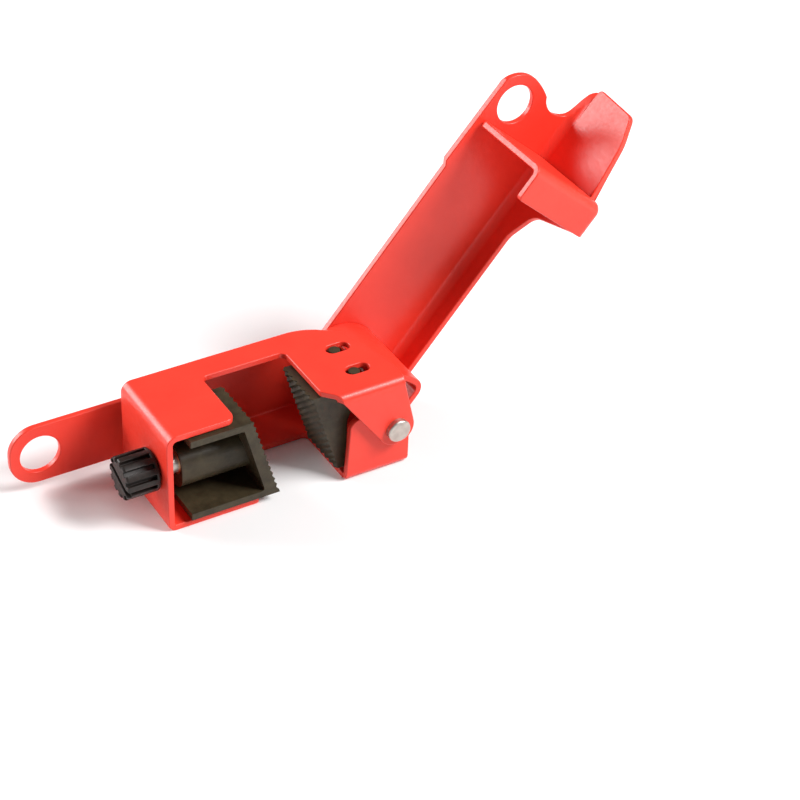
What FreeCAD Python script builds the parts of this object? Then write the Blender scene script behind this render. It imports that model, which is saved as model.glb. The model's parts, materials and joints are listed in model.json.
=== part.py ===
import FreeCAD, Part
import math
import os

# Clamp-on breaker lockout, in millimetres.
# Everything is drawn about the hinge rivet: the rivet's axis runs along Y through X 0, Z 0,
# Y 0 is the rear face of the body's back plate, -Y is the front and +Z is up.
# FRAME_SHIFT then moves it so that Z 0 is the underside of the body.
FRAME_SHIFT = FreeCAD.Vector(0, 16.5, 12.1)
SHEET = 1.5            # steel thickness of body, lever and strap
BEND = 2.0             # outside radius of the body's folds
ROOF_BEND = 2.6        # outside radius of the fold from end wall to roof
OPEN_ANGLE = 130.4     # lever swing from shut to wide open

# Body sheet
BODY_LEFT = -54.6
BODY_RIGHT = 3.2
FLOOR = -12.1
ROOF = 13.5
EAR_FRONT = -33.0
FRONT_PLATE = -31.3
EAR_RADIUS = 4.45
LOCK_HOLE = (-72.6, -2.5)
LEVER_LOCK_HOLE = (-72.6, -2.0)
LOCK_HOLE_R = 4.75
NOTCH_LEFT = -32.2
NOTCH_RIGHT = -11.9
SLOT_X = -6.0
SLOT_YS = (-15.8, -24.8)
SLOT_LENGTH = 5.9
SLOT_WIDTH = 3.2

# Hinge
SHANK_R = 2.0
SHANK_HOLE_R = 2.02
TUBE_R = 2.7
TUBE_BORE_R = 2.05
LEVER_HOLE_R = 2.75

# Lever sheet, drawn in its shut position
LEVER_BACK = -2.85
LEVER_TOP = 16.4
LEVER_END = 5.0
LEVER_BEND = 3.7
CORNER_R = 8.0
CORNER_X = LEVER_END - CORNER_R
CORNER_Z = LEVER_TOP - CORNER_R
HINGE_END_FRONT = -25.4
LIP_FRONT = -28.9
LIP_RIGHT = -57.4
BOX_LEFT = -66.0
BOX_BEND = 2.5

# Cam strap
CAM_R = 10.9
CAM_FALL = 0.8
CAM_END = 235.0

# Jaws
JAW_BACK = -14.8
JAW_FRONT = -29.7
CAM_JAW_FRONT = -28.5
JAW_TOP = 11.7
JAW_BOTTOM = -9.8
TOOTH_PITCH = 1.8
TOOTH_PITCH_Y = 2.0
CAM_TOOTH_DEPTH = 0.8
SLIDE_TOOTH_DEPTH = 0.5
CAM_JAW_FACE = (-19.8, -13.1)
SLIDE_JAW_FACE = (-34.3, -27.9)
PEG_R = 1.3

# Screw
SCREW_Y = -21.3
SCREW_Z = 0.9
STUD_R = 2.5
INSERT_R = 3.0
BOSS_R = 3.9
KNOB_R = 5.0
KNOB_OUTER = -62.8
FLUTES = 12

PLANES = {
    "xy": lambda u, v, w: FreeCAD.Vector(u, v, w),
    "xz": lambda u, v, w: FreeCAD.Vector(u, w, v),
    "yz": lambda u, v, w: FreeCAD.Vector(w, u, v),
}
NORMALS = {
    "xy": FreeCAD.Vector(0, 0, 1),
    "xz": FreeCAD.Vector(0, 1, 0),
    "yz": FreeCAD.Vector(1, 0, 0),
}


def corner_points(before, at, after):
    """Start, middle and end of the arc that rounds one corner (u, v, radius)."""
    u, v, radius = at
    a = (before[0] - u, before[1] - v)
    b = (after[0] - u, after[1] - v)
    la = math.hypot(*a)
    lb = math.hypot(*b)
    a = (a[0] / la, a[1] / la)
    b = (b[0] / lb, b[1] / lb)
    half = math.acos(max(-1.0, min(1.0, a[0] * b[0] + a[1] * b[1]))) / 2
    back = radius / math.tan(half)
    mid = (a[0] + b[0], a[1] + b[1])
    lm = math.hypot(*mid)
    out = radius / math.sin(half) - radius
    start = (u + a[0] * back, v + a[1] * back)
    middle = (u + mid[0] / lm * out, v + mid[1] / lm * out)
    end = (u + b[0] * back, v + b[1] * back)
    return start, middle, end


def outline(corners, plane, level):
    """Closed face through corners (u, v) or (u, v, radius)."""
    place = PLANES[plane]
    runs = []
    count = len(corners)
    for i, corner in enumerate(corners):
        if len(corner) == 3:
            runs.append(corner_points(corners[i - 1], corner, corners[(i + 1) % count]))
        else:
            runs.append((corner,))
    edges = []
    for i, run in enumerate(runs):
        if len(run) == 3:
            p, q, r = [place(s[0], s[1], level) for s in run]
            edges.append(Part.Arc(p, q, r).toShape())
        here = place(run[-1][0], run[-1][1], level)
        ahead = runs[(i + 1) % count][0]
        there = place(ahead[0], ahead[1], level)
        if here.distanceToPoint(there) > 1e-6:
            edges.append(Part.makeLine(here, there))
    return Part.Face(Part.Wire(edges))


def plate(corners, plane, low, high):
    """Flat piece with the given outline, between two levels of its plane's normal."""
    face = outline(corners, plane, low)
    return face.extrude(NORMALS[plane] * (high - low))


def rod(axis, radius, start, end, u, v):
    """Cylinder along X or Y from start to end; u, v is its centre on the other two axes."""
    if axis == "x":
        base = FreeCAD.Vector(start, u, v)
        along = FreeCAD.Vector(1, 0, 0)
    else:
        base = FreeCAD.Vector(u, start, v)
        along = FreeCAD.Vector(0, 1, 0)
    if end < start:
        along = along * -1
    return Part.makeCylinder(radius, abs(end - start), base, along)


def quarter(plane, u, v, outer, from_angle, low, high):
    """Quarter turn of sheet round centre (u, v), from from_angle on, between two levels."""
    place = PLANES[plane]
    inner = outer - SHEET
    ring = []
    for radius in (outer, inner):
        points = []
        for step in (0, 45, 90):
            angle = math.radians(from_angle + step)
            points.append(place(u + radius * math.cos(angle), v + radius * math.sin(angle), low))
        ring.append(points)
    edges = [
        Part.Arc(*ring[0]).toShape(),
        Part.makeLine(ring[0][2], ring[1][2]),
        Part.Arc(*ring[1]).toShape(),
        Part.makeLine(ring[1][0], ring[0][0]),
    ]
    return Part.Face(Part.Wire(edges)).extrude(NORMALS[plane] * (high - low))


def slot(x, y, low, high):
    """Round-ended slot along X through a level range of Z."""
    half = SLOT_LENGTH / 2 - SLOT_WIDTH / 2
    width = SLOT_WIDTH / 2
    box = Part.makeBox(2 * half, 2 * width, high - low, FreeCAD.Vector(x - half, y - width, low))
    ends = [Part.makeCylinder(width, high - low, FreeCAD.Vector(x + s * half, y, low)) for s in (-1, 1)]
    return box.fuse(ends)


def fused(pieces):
    """One solid from touching pieces, without the seams between them."""
    return pieces[0].multiFuse(pieces[1:]).removeSplitter()


def back_plate():
    """Plate A: carries the hinge at one end and the padlock tab at the other."""
    corners = [
        (4.6, 5.1, 4.5), (4.6, FLOOR, 0.8), (3.4, FLOOR), (3.4, FLOOR + BEND),
        (-52.3, FLOOR + BEND), (-52.9, -10.0), (-79.8, -10.0, 6.8), (-79.8, 5.1, 6.4),
    ]
    return plate(corners, "xz", -SHEET, 0)


def bottom_plate():
    """Floor with the toggle notch, open to the front."""
    corners = [
        (BODY_RIGHT, -BEND), (BODY_RIGHT, -27.4), (4.3, -27.4), (4.3, -29.3), (NOTCH_RIGHT, -29.3),
        (NOTCH_RIGHT, -12.5, 1.5), (NOTCH_LEFT, -12.5, 1.5), (NOTCH_LEFT, -28.6, 1.0),
        (BODY_LEFT + BEND, -28.6), (BODY_LEFT + BEND, -5.4), (-52.3, -5.4), (-52.3, -BEND),
    ]
    return plate(corners, "xy", FLOOR, FLOOR + SHEET)


def top_plate():
    """Roof with the toggle notch, the two peg slots and the slanted hinge end."""
    face_edges = [
        (BODY_LEFT + ROOF_BEND, -5.4), (BODY_LEFT + ROOF_BEND, -28.6), (-38.05, -28.6, 2.2),
        (-38.05, -11.8, 1.5), (-17.5, -11.8, 1.5), (-17.5, -28.6, 1.0), (-15.2, -31.0),
        (1.8, -31.0), (2.2, -27.0, 14.0), (0.0, -18.0, 14.0), (-2.1, -10.6, 1.6), (-9.6, -5.4, 14.0),
    ]
    sheet = plate(face_edges, "xy", ROOF - SHEET, ROOF)
    for y in SLOT_YS:
        sheet = sheet.cut(slot(SLOT_X, y, ROOF - SHEET - 1, ROOF + 1))
    return sheet


def front_ear():
    """Tapered ear in front, folded down from the roof to the rivet."""
    inward = (0.807, 0.590)
    left = (-EAR_RADIUS * inward[0], -EAR_RADIUS * inward[1])
    right_angle = math.radians(15.9)
    right = (EAR_RADIUS * math.cos(right_angle), EAR_RADIUS * math.sin(right_angle))
    low = FreeCAD.Vector(0, EAR_FRONT, -EAR_RADIUS)
    y = EAR_FRONT
    a = FreeCAD.Vector(-13.9, y, ROOF - BEND)
    b = FreeCAD.Vector(left[0], y, left[1])
    c = FreeCAD.Vector(right[0], y, right[1])
    d = FreeCAD.Vector(1.8, y, ROOF - BEND)
    edges = [
        Part.makeLine(a, b), Part.Arc(b, low, c).toShape(),
        Part.makeLine(c, d), Part.makeLine(d, a),
    ]
    return Part.Face(Part.Wire(edges)).extrude(FreeCAD.Vector(0, SHEET, 0))


def ear_fold():
    """Fold between roof and ear, with slanted ends."""
    band = quarter("yz", -31.0, ROOF - BEND, BEND, 90, -16.0, 3.0)
    ends = [(-15.2, -31.0), (1.8, -31.0), (1.8, -34.0), (-13.9, -34.0), (-13.9, -33.0)]
    return band.common(plate(ends, "xy", 0, 20))


def front_plate():
    """Inner front plate, folded up from the floor, that backs the ear."""
    corners = [
        (-11.8, FLOOR + BEND), (4.3, FLOOR + BEND), (4.3, 4.5, 2.5),
        (-10.9, 4.5, 2.4),
    ]
    return plate(corners, "xz", FRONT_PLATE, FRONT_PLATE + SHEET)


def left_wall():
    """End wall that carries the screw."""
    low = FLOOR + BEND
    high = ROOF - ROOF_BEND
    corners = [(-5.4, low), (-5.4, high), (-28.6, high), (-28.6, low)]
    return plate(corners, "yz", BODY_LEFT, BODY_LEFT + SHEET)


def body_frame():
    """The folded body sheet in one piece."""
    turn_x = BODY_LEFT + BEND
    turn_z = FLOOR + BEND
    pieces = [
        back_plate(),
        quarter("yz", -BEND, turn_z, BEND, 270, -52.3, BODY_RIGHT),
        bottom_plate(),
        quarter("xz", turn_x, turn_z, BEND, 180, -28.6, -5.4),
        left_wall(),
        quarter("xz", BODY_LEFT + ROOF_BEND, ROOF - ROOF_BEND, ROOF_BEND, 90, -28.6, -5.4),
        top_plate(),
        ear_fold(),
        front_ear(),
        quarter("yz", FRONT_PLATE + BEND, turn_z, BEND, 180, NOTCH_RIGHT + 0.1, 4.3),
        front_plate(),
    ]
    body = fused(pieces)
    body = body.cut(rod("y", SHANK_HOLE_R, 1, -34, 0, 0))
    body = body.cut(rod("y", LOCK_HOLE_R, 1, -2, *LOCK_HOLE))
    return body.cut(rod("x", STUD_R + 0.1, BODY_LEFT - 1, BODY_LEFT + 3, SCREW_Y, SCREW_Z))


def lever_side():
    """Side plate P1 of the lever, from hinge to padlock tab, before the notch is cut."""
    y = LEVER_BACK
    x_hole, z_hole = LEVER_LOCK_HOLE
    radius = 7.4
    free_edge = -8.2
    tab_edge = -9.1
    bend_z = LEVER_TOP - LEVER_BEND
    flat_r = CORNER_R - LEVER_BEND
    at = lambda x, z: FreeCAD.Vector(x, y, z)
    slope = math.radians(45)
    knee = at(CORNER_X + flat_r * math.sin(slope), CORNER_Z + flat_r * math.cos(slope))
    end_x = LEVER_END - LEVER_BEND
    tab = [
        at(x_hole + radius * math.cos(math.radians(a)), z_hole + radius * math.sin(math.radians(a)))
        for a in (243.7, 208.0, 170.0)
    ]
    shoulder = Part.BSplineCurve()
    shoulder.interpolate([tab[2], at(-79.3, 1.8), at(-78.0, 4.9)])
    edges = [
        Part.makeLine(at(-92.0, bend_z), at(CORNER_X, bend_z)),
        Part.Arc(at(CORNER_X, bend_z), knee, at(end_x, CORNER_Z)).toShape(),
        Part.makeLine(at(end_x, CORNER_Z), at(end_x, 1.0)),
        Part.makeLine(at(end_x, 1.0), at(LEVER_END, 1.0)),
        Part.makeLine(at(LEVER_END, 1.0), at(LEVER_END, -3.15)),
        Part.Arc(at(LEVER_END, -3.15), at(3.52, -6.72), at(-0.05, free_edge)).toShape(),
        Part.makeLine(at(-0.05, free_edge), at(-52.4, free_edge)),
        Part.makeLine(at(-52.4, free_edge), at(-53.6, tab_edge)),
        Part.makeLine(at(-53.6, tab_edge), tab[0]),
        Part.Arc(*tab).toShape(),
        shoulder.toShape(),
        Part.makeLine(at(-78.0, 4.9), at(-92.0, 4.9)),
        Part.makeLine(at(-92.0, 4.9), at(-92.0, bend_z)),
    ]
    return Part.Face(Part.Wire(edges)).extrude(FreeCAD.Vector(0, -SHEET, 0))


def thumb_notch():
    """Waste beyond the curved notch between padlock tab and thumb tab, through side and bend."""
    at = lambda x, z: FreeCAD.Vector(x, 0, z)
    curve = Part.BSplineCurve()
    curve.interpolate([
        at(-78.0, 4.9), at(-76.1, 7.0), at(-75.6, 8.9),
        at(-76.0, 11.4), at(-77.4, 13.7), at(-79.6, 14.5),
        at(-82.2, 15.0), at(-84.7, 15.7), at(-86.4, 16.9),
    ])
    edges = [
        curve.toShape(),
        Part.makeLine(at(-86.4, 16.9), at(-96.0, 16.9)),
        Part.makeLine(at(-96.0, 16.9), at(-96.0, 4.9)),
        Part.makeLine(at(-96.0, 4.9), at(-78.0, 4.9)),
    ]
    return Part.Face(Part.Wire(edges)).extrude(FreeCAD.Vector(0, LEVER_BACK - LEVER_BEND, 0))


def lever_top():
    """Top plate P2 with the thumb tab at its free end."""
    edge_y = LEVER_BACK - LEVER_BEND
    z = LEVER_TOP - SHEET
    corners = [
        (CORNER_X, edge_y), (CORNER_X, -10.3), (-47.0, -10.3, 6.0), (-54.2, -13.4, 4.0),
        (LIP_RIGHT, LIP_FRONT + BEND), (BOX_LEFT + BEND, LIP_FRONT + BEND, BOX_BEND - BEND),
        (BOX_LEFT + BEND, -24.9), (-79.4, -22.4, 14.0), (-85.8, -19.4, 2.2), (-86.5, edge_y, 1.2),
    ]
    return plate(corners, "xy", z, LEVER_TOP)


def lever_bends():
    """The long bend between side and top, carried on round the hinge corner."""
    edge_y = LEVER_BACK - LEVER_BEND
    bend_z = LEVER_TOP - LEVER_BEND
    long_bend = quarter("yz", edge_y, bend_z, LEVER_BEND, 0, -86.3, CORNER_X)
    inner = LEVER_BEND - SHEET
    ring = []
    for radius in (LEVER_BEND, inner):
        points = []
        for step in (0, 45, 90):
            angle = math.radians(step)
            y = edge_y + radius * math.cos(angle)
            points.append(FreeCAD.Vector(CORNER_X, y, bend_z + radius * math.sin(angle)))
        ring.append(points)
    section = Part.Face(Part.Wire([
        Part.Arc(*ring[0]).toShape(),
        Part.makeLine(ring[0][2], ring[1][2]),
        Part.Arc(*ring[1]).toShape(),
        Part.makeLine(ring[1][0], ring[0][0]),
    ]))
    centre = FreeCAD.Vector(CORNER_X, 0, CORNER_Z)
    corner = section.revolve(centre, FreeCAD.Vector(0, 1, 0), 90)
    end_x = LEVER_END - LEVER_BEND
    end_bend = quarter("xy", end_x, edge_y, LEVER_BEND, 0, 1.0, CORNER_Z)
    return [long_bend, corner, end_bend]


def lever_end():
    """Rounded hinge end: the band round the corner and the flange below it."""
    edge_y = LEVER_BACK - LEVER_BEND
    band = quarter("xz", CORNER_X, CORNER_Z, CORNER_R, 0, HINGE_END_FRONT, edge_y)
    flange = plate(
        [(edge_y, 1.0), (edge_y, CORNER_Z), (HINGE_END_FRONT, CORNER_Z), (HINGE_END_FRONT, 1.0, 3.0)], "yz",
        LEVER_END - SHEET, LEVER_END,
    )
    trim = plate(
        [(-3.5, -10.3), (-1.6, -10.3, 1.0), (1.9, -18.4, 6.0), (3.45, HINGE_END_FRONT), (3.45, -30.0),
         (-3.5, -30.0)],
        "xy", 7.0, 18.0,
    )
    return [band.cut(trim), flange]


def lever_box():
    """Lip and wall that close round the knob when the lever is shut, with their rounded corner."""
    low = -7.8
    high = LEVER_TOP - BEND
    corner_x = BOX_LEFT + BOX_BEND
    corner_y = LIP_FRONT + BOX_BEND
    lip_bend = quarter("yz", LIP_FRONT + BEND, high, BEND, 90, corner_x, LIP_RIGHT)
    lip = plate(
        [(LIP_RIGHT, high), (LIP_RIGHT, low, 1.0), (corner_x, low), (corner_x, high)],
        "xz", LIP_FRONT, LIP_FRONT + SHEET,
    )
    wall_bend = quarter("xy", corner_x, corner_y, BOX_BEND, 180, low, high)
    wall = plate(
        [(corner_y, low), (corner_y, high), (-4.6, high, 2.2), (-4.6, low, 1.5)],
        "yz", BOX_LEFT, BOX_LEFT + SHEET,
    )
    wall_fold = quarter("xz", BOX_LEFT + BEND, high, BEND, 90, corner_y, -24.2)
    arcs = []
    for radius in (BEND, BEND - SHEET):
        arcs.append([
            FreeCAD.Vector(corner_x, LIP_FRONT + BEND + radius * math.cos(math.radians(angle)),
                           high + radius * math.sin(math.radians(angle)))
            for angle in (90, 135, 180)
        ])
    section = Part.Face(Part.Wire([
        Part.Arc(*arcs[0]).toShape(),
        Part.makeLine(arcs[0][2], arcs[1][2]),
        Part.Arc(*arcs[1]).toShape(),
        Part.makeLine(arcs[1][0], arcs[0][0]),
    ]))
    corner = section.revolve(FreeCAD.Vector(corner_x, corner_y, 0), FreeCAD.Vector(0, 0, -1), 90)
    return [lip_bend, lip, wall_bend, wall, wall_fold, corner]


def shut_to_open(shape):
    """Swing a piece drawn in the lever's shut position to its open position."""
    turned = shape.copy()
    turned.rotate(FreeCAD.Vector(0, 0, 0), FreeCAD.Vector(0, 1, 0), OPEN_ANGLE)
    return turned


def seamed_bend(lever):
    """The lever with a seam across its long bend, which keeps the straight part apart from the notch."""
    seam_x = -74.5
    corner = FreeCAD.Vector(seam_x - 20, LEVER_BACK - LEVER_BEND, LEVER_TOP - LEVER_BEND)
    beyond = Part.makeBox(20, LEVER_BEND, LEVER_BEND, corner)
    return lever.cut(beyond).fuse(lever.common(beyond))


def clamp_lever():
    """The stamped lever in one piece."""
    lever = fused([lever_side(), lever_top()] + lever_bends() + lever_end() + lever_box())
    lever = lever.cut(thumb_notch())
    lever = lever.cut(rod("y", LEVER_HOLE_R, -1, -5, 0, 0))
    lever = lever.cut(rod("y", LOCK_HOLE_R, -1, -5, *LEVER_LOCK_HOLE))
    return shut_to_open(seamed_bend(lever))


def cam_radius(angle):
    """Outside radius of the cam at an angle, in degrees, in the shut position."""
    return CAM_R - CAM_FALL * (angle - 180) / OPEN_ANGLE


def cam_strap():
    """Folded strap under the lever whose curved end pushes the jaw."""
    y = -4.35
    turn = 3.0
    top = 4.5
    at = lambda x, z: FreeCAD.Vector(x, y, z)
    rings = []
    for inset in (0, SHEET):
        r = turn - inset
        cx = -CAM_R + turn
        cz = top - turn
        k = r * math.sqrt(0.5)
        arc = []
        for angle in (180.0, (180.0 + CAM_END) / 2, CAM_END):
            radius = cam_radius(angle) - inset
            turned = math.radians(angle)
            arc.append(at(radius * math.cos(turned), radius * math.sin(turned)))
        rings.append([
            at(LEVER_END - SHEET, top - inset), at(cx, top - inset), at(cx - k, cz + k),
            at(cx - r, cz), arc,
        ])
    outer, inner = rings
    edges = [Part.makeLine(outer[0], outer[1]), Part.Arc(*outer[1:4]).toShape()]
    edges.append(Part.makeLine(outer[3], outer[4][0]))
    edges.append(Part.Arc(*outer[4]).toShape())
    edges.append(Part.makeLine(outer[4][2], inner[4][2]))
    edges.append(Part.Arc(*inner[4]).toShape())
    edges.append(Part.makeLine(inner[4][0], inner[3]))
    edges.append(Part.Arc(*inner[1:4]).toShape())
    edges.append(Part.makeLine(inner[1], inner[0]))
    edges.append(Part.makeLine(inner[0], outer[0]))
    strap = Part.Face(Part.Wire(edges)).extrude(FreeCAD.Vector(0, -23.4, 0))
    bend_in = LEVER_BEND - SHEET
    corner = FreeCAD.Vector(LEVER_END - SHEET - bend_in, y - bend_in, top - 2)
    relief = Part.makeBox(bend_in + 1, bend_in + 1, 3, corner)
    strap = strap.cut(relief.cut(Part.makeCylinder(bend_in, 3, corner)))
    return shut_to_open(strap)


def hinge_rivet():
    """Rivet with a low domed head in front and a rolled, hollow tail behind."""
    head_r = 2.8
    tail_r = 2.45
    tail_bore = 1.45
    at = lambda r, y: FreeCAD.Vector(r, y, 0)
    edges = [
        Part.makeLine(at(0, -34.4), at(head_r - 0.5, -34.4)),
        Part.Arc(at(head_r - 0.5, -34.4), at(head_r - 0.15, -34.25), at(head_r, -33.9)).toShape(),
        Part.makeLine(at(head_r, -33.9), at(head_r, EAR_FRONT)),
        Part.makeLine(at(head_r, EAR_FRONT), at(SHANK_R, EAR_FRONT)),
        Part.makeLine(at(SHANK_R, EAR_FRONT), at(SHANK_R, 0)),
        Part.makeLine(at(SHANK_R, 0), at(tail_r, 0)),
        Part.Arc(at(tail_r, 0), at((tail_r + tail_bore) / 2, 0.8), at(tail_bore, 0.2)).toShape(),
        Part.makeLine(at(tail_bore, 0.2), at(tail_bore, -4.0)),
        Part.makeLine(at(tail_bore, -4.0), at(0, -4.8)),
        Part.makeLine(at(0, -4.8), at(0, -34.4)),
    ]
    return Part.Face(Part.Wire(edges)).revolve(FreeCAD.Vector(0, 0, 0), FreeCAD.Vector(0, 1, 0), 360)


def pivot_tube():
    """Spacer tube on the rivet that the lever turns on."""
    tube = rod("y", TUBE_R, -SHEET, FRONT_PLATE + SHEET, 0, 0)
    return tube.cut(rod("y", TUBE_BORE_R, 0, -34, 0, 0))


def friction_washer():
    """Washer between the body's back plate and the lever."""
    washer = rod("y", 4.2, -SHEET, LEVER_BACK + 0.05, 0, 0)
    return washer.cut(rod("y", LEVER_HOLE_R, 0, -5, 0, 0))


def tooth_cutters(top_x, bottom_x, facing, depth):
    """V grooves, both ways, that turn a slanted jaw face into rows of pyramids."""
    top = FreeCAD.Vector(top_x, 0, JAW_TOP)
    bottom = FreeCAD.Vector(bottom_x, 0, JAW_BOTTOM)
    run = bottom - top
    length = run.Length
    along = run / length
    out = FreeCAD.Vector(-along.z, 0, along.x) * facing
    half = TOOTH_PITCH / 2
    cutters = []
    for i in range(int(length / TOOTH_PITCH)):
        centre = top + along * ((i + 0.5) * TOOTH_PITCH)
        wedge = Part.makePolygon([
            centre - along * half + out * 0.01, centre + along * half + out * 0.01,
            centre - out * depth, centre - along * half + out * 0.01,
        ])
        wedge.translate(FreeCAD.Vector(0, JAW_FRONT - 1, 0))
        cutters.append(Part.Face(wedge).extrude(FreeCAD.Vector(0, 18, 0)))
    side = FreeCAD.Vector(0, TOOTH_PITCH_Y / 2, 0)
    for i in range(8):
        centre = top - along * 2 + FreeCAD.Vector(0, JAW_FRONT, 0) + side * (2 * i + 1)
        wedge = Part.makePolygon([
            centre - side + out * 0.01, centre + side + out * 0.01,
            centre - out * depth, centre - side + out * 0.01,
        ])
        cutters.append(Part.Face(wedge).extrude(along * (length + 4)))
    return cutters


def cam_jaw():
    """Jaw that the cam pushes; its two pegs run in the roof's slots."""
    rear = -10.4
    shift = 0.8
    sweep = 11.5
    y = JAW_BACK
    at = lambda x, z: FreeCAD.Vector(x, y, z)
    low_z = math.sqrt(sweep ** 2 - (shift - rear) ** 2)
    shelf_z = 9.8
    shelf_x = shift - math.sqrt(sweep ** 2 - shelf_z ** 2)
    turn = math.radians((math.degrees(math.atan2(low_z, rear - shift))
                         + math.degrees(math.atan2(shelf_z, shelf_x - shift))) / 2)
    middle = at(shift + sweep * math.cos(turn), sweep * math.sin(turn))
    edges = [
        Part.makeLine(at(CAM_JAW_FACE[0], JAW_TOP), at(CAM_JAW_FACE[1], JAW_BOTTOM)),
        Part.makeLine(at(CAM_JAW_FACE[1], JAW_BOTTOM), at(rear, JAW_BOTTOM)),
        Part.makeLine(at(rear, JAW_BOTTOM), at(rear, low_z)),
        Part.Arc(at(rear, low_z), middle, at(shelf_x, shelf_z)).toShape(),
        Part.makeLine(at(shelf_x, shelf_z), at(shelf_x, JAW_TOP)),
        Part.makeLine(at(shelf_x, JAW_TOP), at(CAM_JAW_FACE[0], JAW_TOP)),
    ]
    block = Part.Face(Part.Wire(edges)).extrude(FreeCAD.Vector(0, CAM_JAW_FRONT - JAW_BACK, 0))
    block = block.cut(tooth_cutters(CAM_JAW_FACE[0], CAM_JAW_FACE[1], -1, CAM_TOOTH_DEPTH))
    pegs = [
        Part.makeCylinder(PEG_R, 1.9, FreeCAD.Vector(SLOT_X - 0.8, peg_y, JAW_TOP - 0.5))
        for peg_y in SLOT_YS
    ]
    return fused([block] + pegs)


def sliding_jaw():
    """Open-fronted jaw on the screw: rear wall, two rails, toothed wall and screw boss."""
    left = -49.5
    wall = 1.7
    outer_edge = [
        (left, JAW_TOP), (left, JAW_BOTTOM), (SLIDE_JAW_FACE[1], JAW_BOTTOM),
        (SLIDE_JAW_FACE[0], JAW_TOP),
    ]
    shell = plate(outer_edge, "xz", JAW_FRONT, JAW_BACK)
    inner_edge = [
        (left - 1, JAW_BOTTOM + wall), (left - 1, JAW_TOP - wall), (-36.6, JAW_TOP - wall, 0.6),
        (-31.6, JAW_BOTTOM + wall, 0.6),
    ]
    shell = shell.cut(plate(inner_edge, "xz", JAW_FRONT - 1, JAW_BACK - wall))
    bosses = []
    for z in (SCREW_Z, SCREW_Z - 2.4):
        bosses.append(rod("x", BOSS_R, left, -32.5, SCREW_Y, z))
    web = Part.makeBox(17.0, 2 * BOSS_R, 2.4, FreeCAD.Vector(left, SCREW_Y - BOSS_R, SCREW_Z - 2.4))
    spine = Part.makeBox(
        17.0, JAW_BACK - SCREW_Y, 2 * BOSS_R + 2.4,
        FreeCAD.Vector(left, SCREW_Y, SCREW_Z - 2.4 - BOSS_R),
    )
    boss = fused(bosses + [web, spine])
    keep = plate(outer_edge, "xz", JAW_FRONT, JAW_BACK)
    jaw = fused([shell, boss.common(keep)])
    jaw = jaw.cut(rod("x", STUD_R + 0.15, left - 1, -34.0, SCREW_Y, SCREW_Z))
    jaw = jaw.cut(rod("x", INSERT_R, left - 1, left + 8.0, SCREW_Y, SCREW_Z))
    return jaw.cut(tooth_cutters(SLIDE_JAW_FACE[0], SLIDE_JAW_FACE[1], 1, SLIDE_TOOTH_DEPTH))


def thread_insert():
    """Metal insert pressed into the sliding jaw's boss."""
    sleeve = rod("x", INSERT_R, -49.5, -41.5, SCREW_Y, SCREW_Z)
    return sleeve.cut(rod("x", STUD_R + 0.05, -50, -41, SCREW_Y, SCREW_Z))


def screw_stud():
    """Screw from the knob through the end wall into the insert."""
    stud = rod("x", STUD_R, -60.9, -36.6, SCREW_Y, SCREW_Z)
    groove = rod("x", STUD_R + 1, -52.9, -52.2, SCREW_Y, SCREW_Z)
    groove = groove.cut(rod("x", 2.1, -53, -52, SCREW_Y, SCREW_Z))
    stud = stud.cut(groove)
    chamfer = [edge for edge in stud.Edges if abs(edge.CenterOfMass.x + 36.6) < 1e-6]
    return stud.makeChamfer(0.5, chamfer)


def retaining_ring():
    """Open ring in the screw's groove that holds it to the end wall."""
    ring = rod("x", 4.0, -52.85, -52.25, SCREW_Y, SCREW_Z)
    ring = ring.cut(rod("x", 2.1, -53, -52, SCREW_Y, SCREW_Z))
    return ring.cut(Part.makeBox(1, 5, 3.4, FreeCAD.Vector(-53, SCREW_Y, SCREW_Z - 1.7)))


def thumb_knob():
    """Fluted knob with a screwdriver slot across its end."""
    inner_x = BODY_LEFT - 0.3
    centre = FreeCAD.Vector(0, SCREW_Y, SCREW_Z)
    knob = rod("x", KNOB_R, KNOB_OUTER, inner_x, SCREW_Y, SCREW_Z)
    rims = [edge for edge in knob.Edges if edge.Curve.TypeId == "Part::GeomCircle"]
    knob = knob.makeFillet(0.5, rims)
    flutes = []
    for i in range(FLUTES):
        flute = Part.makeBox(
            inner_x - KNOB_OUTER + 0.1, 1.15, 3.0,
            FreeCAD.Vector(KNOB_OUTER - 1, SCREW_Y - 0.575, SCREW_Z + KNOB_R - 1.15),
        )
        flute.rotate(centre, FreeCAD.Vector(1, 0, 0), 360 / FLUTES * (i + 0.5))
        flutes.append(flute)
    knob = knob.cut(flutes)
    groove = Part.makeBox(1.3, 12, 1.2, FreeCAD.Vector(KNOB_OUTER - 0.3, SCREW_Y - 6, SCREW_Z - 0.6))
    groove.rotate(centre, FreeCAD.Vector(1, 0, 0), 22)
    knob = knob.cut(groove)
    return knob.cut(rod("x", STUD_R, -60.9, inner_x + 1, SCREW_Y, SCREW_Z))


NODES = {
    "body_frame": body_frame,
    "clamp_lever": clamp_lever,
    "cam_strap": cam_strap,
    "hinge_rivet": hinge_rivet,
    "pivot_tube": pivot_tube,
    "friction_washer": friction_washer,
    "cam_jaw": cam_jaw,
    "sliding_jaw": sliding_jaw,
    "thread_insert": thread_insert,
    "screw_stud": screw_stud,
    "retaining_ring": retaining_ring,
    "thumb_knob": thumb_knob,
}

os.makedirs("parts", exist_ok=True)
for node, make in NODES.items():
    shape = make()
    shape.translate(FRAME_SHIFT)
    if shape.ShapeType == "Compound" and len(shape.Solids) == 1:
        shape = shape.Solids[0]
    box = shape.BoundBox
    print(node, shape.isValid(), len(shape.Solids), round(shape.Volume, 1),
          [round(v, 2) for v in (box.XMin, box.XMax, box.YMin, box.YMax, box.ZMin, box.ZMax)])
    shape.exportStep("parts/" + node + ".step")
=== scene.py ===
import bpy
import bmesh
import json
import math
from mathutils import Euler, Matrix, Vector
from mathutils.bvhtree import BVHTree


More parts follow.
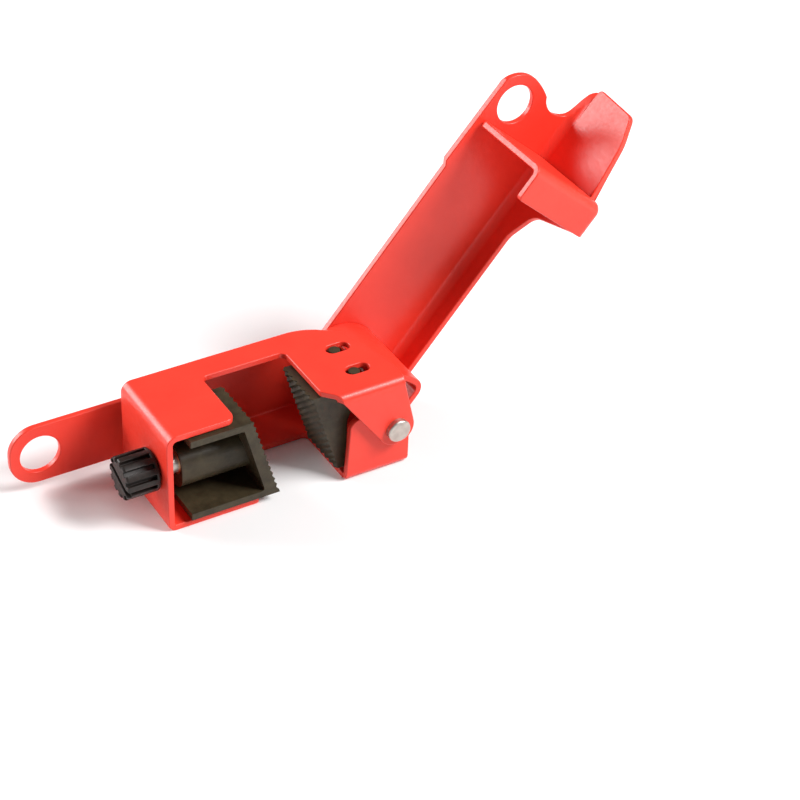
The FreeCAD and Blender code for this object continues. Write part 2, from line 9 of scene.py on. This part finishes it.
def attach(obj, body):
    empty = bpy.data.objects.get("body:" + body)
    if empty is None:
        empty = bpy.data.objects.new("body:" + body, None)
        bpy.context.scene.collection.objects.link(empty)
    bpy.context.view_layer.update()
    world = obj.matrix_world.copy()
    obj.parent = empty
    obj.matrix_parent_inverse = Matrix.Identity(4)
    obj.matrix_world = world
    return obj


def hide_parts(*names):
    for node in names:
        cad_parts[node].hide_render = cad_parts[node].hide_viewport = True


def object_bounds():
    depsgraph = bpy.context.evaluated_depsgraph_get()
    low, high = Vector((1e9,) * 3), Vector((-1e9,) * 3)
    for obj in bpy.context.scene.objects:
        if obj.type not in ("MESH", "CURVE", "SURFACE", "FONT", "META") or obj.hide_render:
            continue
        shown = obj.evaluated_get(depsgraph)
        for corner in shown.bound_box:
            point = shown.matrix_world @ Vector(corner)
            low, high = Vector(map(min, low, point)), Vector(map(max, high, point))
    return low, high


# Looks of the clamp-on breaker lockout, in metres.

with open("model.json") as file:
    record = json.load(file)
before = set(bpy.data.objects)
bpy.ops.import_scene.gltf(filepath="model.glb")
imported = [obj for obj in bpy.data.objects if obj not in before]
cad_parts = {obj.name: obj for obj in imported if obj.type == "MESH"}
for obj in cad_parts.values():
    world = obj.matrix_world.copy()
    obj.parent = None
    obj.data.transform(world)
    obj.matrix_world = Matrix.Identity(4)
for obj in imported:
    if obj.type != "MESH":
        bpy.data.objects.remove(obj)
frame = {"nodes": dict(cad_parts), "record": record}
cad_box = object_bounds()
nodes = frame["nodes"]

WHITE = (1.0, 1.0, 1.0)

# Rounded edges
SHEET_EDGE = 0.00028        # edge radius of the coated sheet
SHEET_SEGMENTS = 3
KNOB_EDGE = 0.00012         # edge radius of the moulded knob
KNOB_SEGMENTS = 2
WELD = 2e-6                 # corners closer than this are one corner
FLAT_DEGREES = 0.4          # facets flatter than this are one face
SHARP_DEGREES = 50.0        # edges sharper than this are rounded
STRAY_SHARE = 0.55          # share of the radius that a rounded corner may stand off the CAD surface
FOLDED_DOT = -0.2           # a face whose normal meets the surface's below this is folded over
FLAT_WEIGHT = 50            # how strongly large faces set the normals

# Stage
FLOOR_REACH = 4.0
FLOOR_TONE = 0.93
FLOOR_SWING = 0.01
WORLD_STRENGTH = 0.16

# Camera
LENS_MM = 102.24
SENSOR_MM = 36.0
CLIP_START = 0.01
CAMERA_PLACE = (-0.21427, -0.35936, 0.32046)
CAMERA_DEGREES = (53.366, -2.053, -30.523)

# ---------------------------------------------------------------- materials


def new_material(name, color, metallic, roughness):
    """Material with a Principled shader; returns it with its tree and shader."""
    material = bpy.data.materials.new(name)
    material.use_nodes = True
    tree = material.node_tree
    shader = tree.nodes["Principled BSDF"]
    shader.inputs["Base Color"].default_value = (*color, 1.0)
    shader.inputs["Metallic"].default_value = metallic
    shader.inputs["Roughness"].default_value = roughness
    return material, tree, shader


def noise(tree, scale, detail=3.0):
    """Noise in object space; scale is in features per metre."""
    coord = tree.nodes.new("ShaderNodeTexCoord")
    texture = tree.nodes.new("ShaderNodeTexNoise")
    texture.inputs["Scale"].default_value = scale
    texture.inputs["Detail"].default_value = detail
    texture.inputs["Roughness"].default_value = 0.55
    tree.links.new(coord.outputs["Object"], texture.inputs["Vector"])
    return texture.outputs["Fac"]


def tint(tree, shader, value, low, high):
    """Base colour that runs between two (position, colour) stops."""
    node = tree.nodes.new("ShaderNodeValToRGB")
    for element, (position, color) in zip(node.color_ramp.elements, (low, high)):
        element.position = position
        element.color = (*color, 1.0)
    tree.links.new(value, node.inputs["Fac"])
    tree.links.new(node.outputs["Color"], shader.inputs["Base Color"])


def roughen(tree, shader, value, low, high):
    """Roughness from the middle of a noise, mapped onto low..high."""
    node = tree.nodes.new("ShaderNodeMapRange")
    node.inputs["From Min"].default_value = 0.3
    node.inputs["From Max"].default_value = 0.7
    node.inputs["To Min"].default_value = low
    node.inputs["To Max"].default_value = high
    tree.links.new(value, node.inputs["Value"])
    tree.links.new(node.outputs["Result"], shader.inputs["Roughness"])


def bump(tree, shader, layers):
    """Bump from (height, depth in metres) layers."""
    normal = None
    for height, depth in layers:
        node = tree.nodes.new("ShaderNodeBump")
        node.inputs["Strength"].default_value = 1.0
        node.inputs["Distance"].default_value = depth
        tree.links.new(height, node.inputs["Height"])
        if normal:
            tree.links.new(normal, node.inputs["Normal"])
        normal = node.outputs["Normal"]
    tree.links.new(normal, shader.inputs["Normal"])


def red_coat():
    """Baked red powder coat: even colour, fine orange peel."""
    material, tree, shader = new_material("red_powder_coat", (0.82, 0.046, 0.026), 0.0, 0.36)
    tone = noise(tree, 90.0, 4.0)
    tint(tree, shader, tone, (0.25, (0.78, 0.040, 0.023)), (0.75, (0.86, 0.050, 0.028)))
    roughen(tree, shader, noise(tree, 1100.0), 0.30, 0.42)
    shader.inputs["Specular IOR Level"].default_value = 0.35
    shader.inputs["Coat Weight"].default_value = 0.12
    shader.inputs["Coat Roughness"].default_value = 0.22
    peel = (noise(tree, 700.0, 2.0), 0.000035)
    grain = (noise(tree, 2600.0, 2.0), 0.000008)
    bump(tree, shader, [peel, grain])
    return material


def plated_steel():
    """Bright plated steel, lightly brushed and scuffed."""
    material, tree, shader = new_material("plated_steel", (0.54, 0.50, 0.46), 1.0, 0.4)
    tone = noise(tree, 600.0, 5.0)
    tint(tree, shader, tone, (0.3, (0.46, 0.42, 0.38)), (0.7, (0.62, 0.58, 0.53)))
    roughen(tree, shader, noise(tree, 2400.0), 0.34, 0.50)
    bump(tree, shader, [(noise(tree, 1800.0, 4.0), 0.00001)])
    return material


def brass():
    """Turned brass."""
    material, tree, shader = new_material("brass", (0.72, 0.52, 0.22), 1.0, 0.32)
    tone = noise(tree, 500.0, 4.0)
    tint(tree, shader, tone, (0.3, (0.60, 0.42, 0.17)), (0.7, (0.78, 0.58, 0.27)))
    bump(tree, shader, [(noise(tree, 1500.0), 0.000008)])
    return material


def moulded(name, dark, light, smooth, rough):
    """Glass-filled moulding: dark, faintly mottled, finely grained."""
    material, tree, shader = new_material(name, light, 0.0, rough)
    tint(tree, shader, noise(tree, 420.0, 5.0), (0.3, dark), (0.7, light))
    roughen(tree, shader, noise(tree, 1500.0), smooth, rough)
    shader.inputs["Specular IOR Level"].default_value = 0.34
    mottle = (noise(tree, 900.0), 0.00003)
    grain = (noise(tree, 4200.0, 2.0), 0.000012)
    bump(tree, shader, [mottle, grain])
    return material


def pale_floor():
    """Matt studio floor, almost even in tone."""
    base = (FLOOR_TONE, FLOOR_TONE, FLOOR_TONE)
    material, tree, shader = new_material("pale_floor", base, 0.0, 0.85)
    low = (FLOOR_TONE - FLOOR_SWING,) * 3
    high = (FLOOR_TONE + FLOOR_SWING,) * 3
    tint(tree, shader, noise(tree, 30.0), (0.3, low), (0.7, high))
    return material


MATERIALS = {
    "red_coat": red_coat(),
    "plated_steel": plated_steel(),
    "brass_insert": brass(),
    "dark_polymer": moulded(
        "dark_polymer", (0.030, 0.021, 0.010), (0.056, 0.042, 0.021), 0.36, 0.52
    ),
    "knob_polymer": moulded(
        "knob_polymer", (0.012, 0.008, 0.006), (0.022, 0.015, 0.012), 0.34, 0.52
    ),
}
SLOTS = {part["node"]: part["material_slot"] for part in frame["record"]["subparts"]}
BODIES = {
    name: body
    for body, names in frame["record"]["behaviour"]["bodies"].items()
    for name in names
}
for name, node in nodes.items():
    node.data.materials.clear()
    node.data.materials.append(MATERIALS[SLOTS[name]])

# ---------------------------------------------------------------- rounded pieces


def apply_modifiers(piece):
    """Gives the piece the mesh that its modifiers make, and drops them."""
    graph = bpy.context.evaluated_depsgraph_get()
    before = piece.data
    piece.data = bpy.data.meshes.new_from_object(
        piece.evaluated_get(graph), preserve_all_data_layers=True, depsgraph=graph
    )
    piece.modifiers.clear()
    bpy.data.meshes.remove(before)


def settle(mesh, surface, reach):
    """Lays stray corners back on the CAD surface and turns round slivers that point into it."""
    work = bmesh.new()
    work.from_mesh(mesh)
    for vertex in work.verts:
        nearest, _, _, distance = surface.find_nearest(vertex.co)
        if distance > reach:
            vertex.co = nearest
    work.normal_update()
    folded = []
    for face in work.faces:
        _, outward, _, _ = surface.find_nearest(face.calc_center_median())
        if outward.dot(face.normal) < FOLDED_DOT:
            folded.append(face)
    bmesh.ops.reverse_faces(work, faces=folded)
    work.to_mesh(mesh)
    work.free()


def rounded(name, suffix, width, segments):
    """Stands for a CAD node: the same surface with its sharp edges rounded off."""
    mesh = nodes[name].data.copy()
    work = bmesh.new()
    work.from_mesh(mesh)
    bmesh.ops.remove_doubles(work, verts=work.verts, dist=WELD)
    bmesh.ops.dissolve_limit(
        work, angle_limit=math.radians(FLAT_DEGREES), verts=work.verts, edges=work.edges
    )
    work.to_mesh(mesh)
    surface = BVHTree.FromBMesh(work)
    work.free()
    if "custom_normal" in mesh.attributes:
        mesh.attributes.remove(mesh.attributes["custom_normal"])
    mesh.shade_smooth()
    piece = bpy.data.objects.new(name + suffix, mesh)
    bpy.context.scene.collection.objects.link(piece)
    bevel = piece.modifiers.new("round", "BEVEL")
    bevel.width = width
    bevel.segments = segments
    bevel.limit_method = "ANGLE"
    bevel.angle_limit = math.radians(SHARP_DEGREES)
    bevel.use_clamp_overlap = False
    bevel.miter_outer = "MITER_ARC"
    apply_modifiers(piece)
    settle(piece.data, surface, STRAY_SHARE * width)
    weighted = piece.modifiers.new("normals", "WEIGHTED_NORMAL")
    weighted.mode = "FACE_AREA"
    weighted.weight = FLAT_WEIGHT
    apply_modifiers(piece)
    piece.data.name = name + suffix
    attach(piece, BODIES[name])
    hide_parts(name)


for sheet in ("body_frame", "clamp_lever", "cam_strap"):
    rounded(sheet, "_coated", SHEET_EDGE, SHEET_SEGMENTS)
rounded("thumb_knob", "_moulded", KNOB_EDGE, KNOB_SEGMENTS)

# ---------------------------------------------------------------- floor, lights, camera

floor_mesh = bpy.data.meshes.new("floor")
floor_corners = [
    (x * FLOOR_REACH, y * FLOOR_REACH, 0.0) for x, y in ((-1, -1), (1, -1), (1, 1), (-1, 1))
]
floor_mesh.from_pydata(floor_corners, [], [(0, 1, 2, 3)])
floor_mesh.materials.append(pale_floor())
floor = bpy.data.objects.new("floor", floor_mesh)
bpy.context.scene.collection.objects.link(floor)

centre = Vector([(low + high) / 2 for low, high in zip(*cad_box)])


def area_light(name, place, size, power):
    """Square soft box aimed at the object; place and size in metres, power in watts."""
    data = bpy.data.lights.new(name, "AREA")
    data.shape = "SQUARE"
    data.size = size
    data.energy = power
    light = bpy.data.objects.new(name, data)
    light.location = Vector(place)
    light.rotation_euler = (centre - light.location).to_track_quat("-Z", "Y").to_euler()
    bpy.context.scene.collection.objects.link(light)


area_light("key", (0.66, -0.58, 0.86), 0.55, 21.0)
area_light("back_left", (-0.62, 0.69, 0.41), 0.55, 11.0)

world = bpy.data.worlds.new("studio")
world.use_nodes = True
background = world.node_tree.nodes["Background"]
background.inputs["Color"].default_value = (*WHITE, 1.0)
background.inputs["Strength"].default_value = WORLD_STRENGTH
bpy.context.scene.world = world
bpy.context.scene.view_settings.view_transform = "Standard"

lens = bpy.data.cameras.new("camera")
lens.lens = LENS_MM
lens.sensor_width = SENSOR_MM
lens.clip_start = CLIP_START
camera = bpy.data.objects.new("camera", lens)
camera.location = CAMERA_PLACE
camera.rotation_euler = Euler([math.radians(degrees) for degrees in CAMERA_DEGREES], "XYZ")
bpy.context.scene.collection.objects.link(camera)
bpy.context.scene.camera = camera
